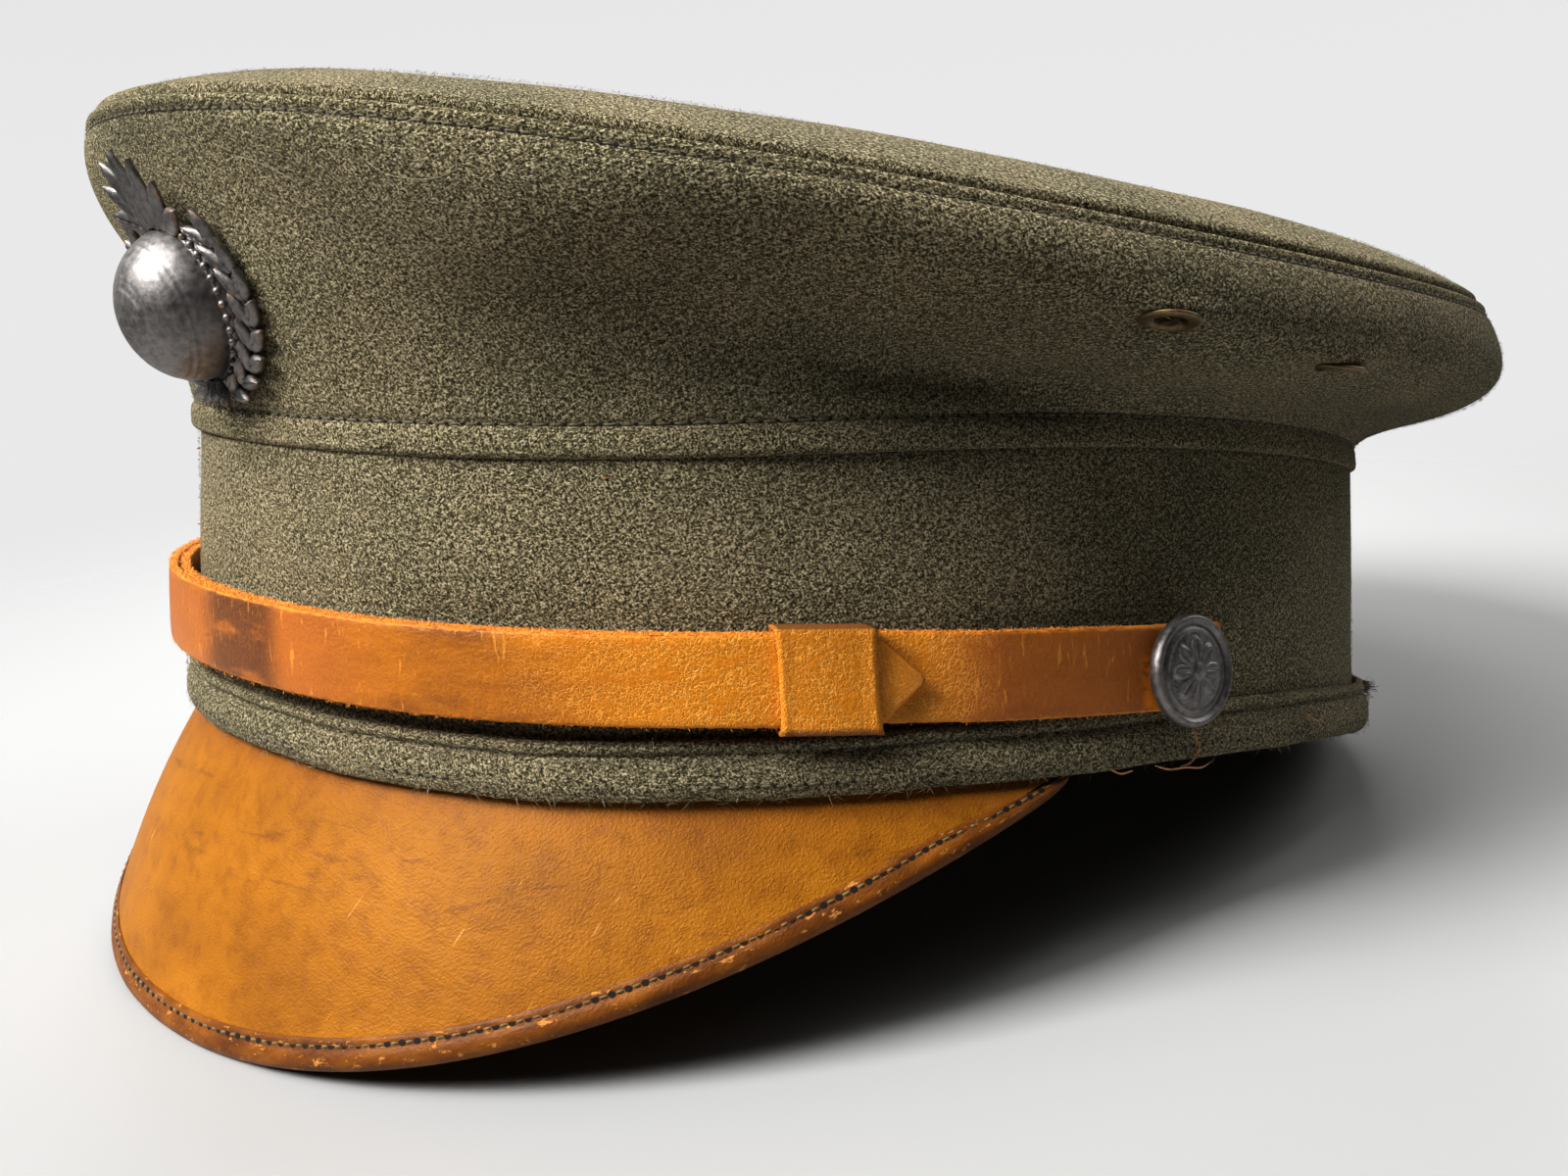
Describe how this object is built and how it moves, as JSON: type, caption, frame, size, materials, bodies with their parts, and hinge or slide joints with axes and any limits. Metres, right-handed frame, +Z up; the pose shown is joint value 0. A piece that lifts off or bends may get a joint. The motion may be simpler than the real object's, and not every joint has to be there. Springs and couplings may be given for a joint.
{
  "type": "peaked cap",
  "caption": "Old olive wool peaked uniform cap with a steep tan leather peak, leather chin strap, dark metal buttons and a plain bronze ornament.",
  "frame": {"origin": "on the surface that the cap rests on, below the middle of its outer box", "axes": "+Z up, -Y towards the peak, +X towards the wearer's left"},
  "size_m": [0.2054, 0.2496, 0.1262],
  "materials": {
    "wool": "fulled melange wool",
    "visor_leather": "smooth aged leather",
    "binding_leather": "worn edge binding",
    "strap_leather": "crackled leather with raw edges",
    "dark_bronze": "darkened, worn on the high spots",
    "eyelet_brass": "dull aged brass"
  },
  "bodies": {
    "root": {"band": "wool", "crown_side": "wool", "crown_top": "wool", "lower_welt": "wool", "visor": "visor_leather", "visor_binding": "binding_leather", "strap_inner": "strap_leather", "strap_outer": "strap_leather", "strap_keeper_left": "strap_leather", "strap_keeper_right": "strap_leather", "button_left": "dark_bronze", "button_right": "dark_bronze", "vent_eyelet_1": "eyelet_brass", "vent_eyelet_2": "eyelet_brass", "vent_eyelet_3": "eyelet_brass", "vent_eyelet_4": "eyelet_brass", "badge": "dark_bronze"}
  },
  "joints": []
}
